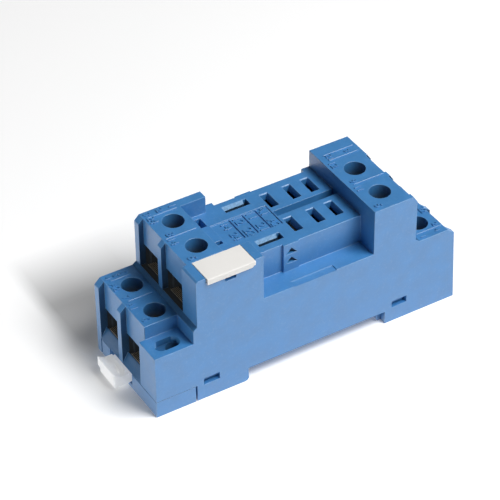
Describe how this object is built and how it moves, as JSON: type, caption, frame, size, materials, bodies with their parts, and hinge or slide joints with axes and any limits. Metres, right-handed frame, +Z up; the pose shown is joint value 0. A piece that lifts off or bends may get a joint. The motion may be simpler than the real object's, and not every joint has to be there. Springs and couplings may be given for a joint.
{
  "type": "relay socket",
  "caption": "Rail-mounted relay socket with screw clamp terminals on two levels at each end, a slotted relay platform, a sliding rail clip and a marker tag.",
  "frame": {"origin": "centre of the rail seat, on the face that lies on the rail", "axes": "+X along the socket from its clip end, +Y from the side with the marker tag to the other side, +Z up, away from the rail"},
  "size_m": [0.0808, 0.027, 0.0329],
  "materials": {
    "blue_shell": "fine moulded satin",
    "white_nylon": "natural, slightly translucent",
    "ivory_plastic": "smooth satin",
    "brass_strip": "stamped, slightly dull",
    "plated_cage": "zinc plated",
    "plated_screw": "zinc plated"
  },
  "bodies": {
    "base": {"housing": "blue_shell", "base_cover": "blue_shell", "marker_tag": "ivory_plastic", "coil_strip_near": "brass_strip", "first_contact_strip_near": "brass_strip", "second_contact_strip_near": "brass_strip", "third_contact_strip_near": "brass_strip", "coil_strip_far": "brass_strip", "first_contact_strip_far": "brass_strip", "second_contact_strip_far": "brass_strip", "third_contact_strip_far": "brass_strip"},
    "clip": {"rail_clip": "white_nylon"},
    "screw_left_low_near": {"clamp_screw_left_low_near": "plated_screw"},
    "cage_left_low_near": {"clamp_cage_left_low_near": "plated_cage"},
    "screw_left_high_near": {"clamp_screw_left_high_near": "plated_screw"},
    "cage_left_high_near": {"clamp_cage_left_high_near": "plated_cage"},
    "screw_right_low_near": {"clamp_screw_right_low_near": "plated_screw"},
    "cage_right_low_near": {"clamp_cage_right_low_near": "plated_cage"},
    "screw_right_high_near": {"clamp_screw_right_high_near": "plated_screw"},
    "cage_right_high_near": {"clamp_cage_right_high_near": "plated_cage"},
    "screw_left_low_far": {"clamp_screw_left_low_far": "plated_screw"},
    "cage_left_low_far": {"clamp_cage_left_low_far": "plated_cage"},
    "screw_left_high_far": {"clamp_screw_left_high_far": "plated_screw"},
    "cage_left_high_far": {"clamp_cage_left_high_far": "plated_cage"},
    "screw_right_low_far": {"clamp_screw_right_low_far": "plated_screw"},
    "cage_right_low_far": {"clamp_cage_right_low_far": "plated_cage"},
    "screw_right_high_far": {"clamp_screw_right_high_far": "plated_screw"},
    "cage_right_high_far": {"clamp_cage_right_high_far": "plated_cage"}
  },
  "joints": [
    {"name": "clip_slide", "type": "slide", "parent": "base", "child": "clip", "axis": [-1, 0, 0], "range_m": [0, 0.0025]},
    {"name": "turn_left_low_near", "type": "hinge", "parent": "base", "child": "screw_left_low_near", "pos_m": [-0.03452, -0.0026, 0.01255], "axis": [0, 0, -1], "range_deg": [0, 1890]},
    {"name": "rise_left_low_near", "type": "slide", "parent": "base", "child": "cage_left_low_near", "axis": [0, 0, 1], "range_m": [0, 0.0025]},
    {"name": "turn_left_high_near", "type": "hinge", "parent": "base", "child": "screw_left_high_near", "pos_m": [-0.02388, -0.0026, 0.02555], "axis": [0, 0, -1], "range_deg": [0, 1890]},
    {"name": "rise_left_high_near", "type": "slide", "parent": "base", "child": "cage_left_high_near", "axis": [0, 0, 1], "range_m": [0, 0.0025]},
    {"name": "turn_right_low_near", "type": "hinge", "parent": "base", "child": "screw_right_low_near", "pos_m": [0.02955, -0.0075, 0.01255], "axis": [0, 0, -1], "range_deg": [0, 1890]},
    {"name": "rise_right_low_near", "type": "slide", "parent": "base", "child": "cage_right_low_near", "axis": [0, 0, 1], "range_m": [0, 0.0025]},
    {"name": "turn_right_high_near", "type": "hinge", "parent": "base", "child": "screw_right_high_near", "pos_m": [0.01922, -0.0075, 0.02555], "axis": [0, 0, -1], "range_deg": [0, 1890]},
    {"name": "rise_right_high_near", "type": "slide", "parent": "base", "child": "cage_right_high_near", "axis": [0, 0, 1], "range_m": [0, 0.0025]},
    {"name": "turn_left_low_far", "type": "hinge", "parent": "base", "child": "screw_left_low_far", "pos_m": [-0.03452, 0.00725, 0.01255], "axis": [0, 0, -1], "range_deg": [0, 1890]},
    {"name": "rise_left_low_far", "type": "slide", "parent": "base", "child": "cage_left_low_far", "axis": [0, 0, 1], "range_m": [0, 0.0025]},
    {"name": "turn_left_high_far", "type": "hinge", "parent": "base", "child": "screw_left_high_far", "pos_m": [-0.02388, 0.00725, 0.02555], "axis": [0, 0, -1], "range_deg": [0, 1890]},
    {"name": "rise_left_high_far", "type": "slide", "parent": "base", "child": "cage_left_high_far", "axis": [0, 0, 1], "range_m": [0, 0.0025]},
    {"name": "turn_right_low_far", "type": "hinge", "parent": "base", "child": "screw_right_low_far", "pos_m": [0.02955, 0.00235, 0.01255], "axis": [0, 0, -1], "range_deg": [0, 1890]},
    {"name": "rise_right_low_far", "type": "slide", "parent": "base", "child": "cage_right_low_far", "axis": [0, 0, 1], "range_m": [0, 0.0025]},
    {"name": "turn_right_high_far", "type": "hinge", "parent": "base", "child": "screw_right_high_far", "pos_m": [0.01922, 0.00235, 0.02555], "axis": [0, 0, -1], "range_deg": [0, 1890]},
    {"name": "rise_right_high_far", "type": "slide", "parent": "base", "child": "cage_right_high_far", "axis": [0, 0, 1], "range_m": [0, 0.0025]}
  ],
  "couplings": [
    {"joint": "turn_left_low_near", "follows": "rise_left_low_near", "rad_per_m": 12566},
    {"joint": "turn_left_high_near", "follows": "rise_left_high_near", "rad_per_m": 12566},
    {"joint": "turn_right_low_near", "follows": "rise_right_low_near", "rad_per_m": 12566},
    {"joint": "turn_right_high_near", "follows": "rise_right_high_near", "rad_per_m": 12566},
    {"joint": "turn_left_low_far", "follows": "rise_left_low_far", "rad_per_m": 12566},
    {"joint": "turn_left_high_far", "follows": "rise_left_high_far", "rad_per_m": 12566},
    {"joint": "turn_right_low_far", "follows": "rise_right_low_far", "rad_per_m": 12566},
    {"joint": "turn_right_high_far", "follows": "rise_right_high_far", "rad_per_m": 12566}
  ]
}
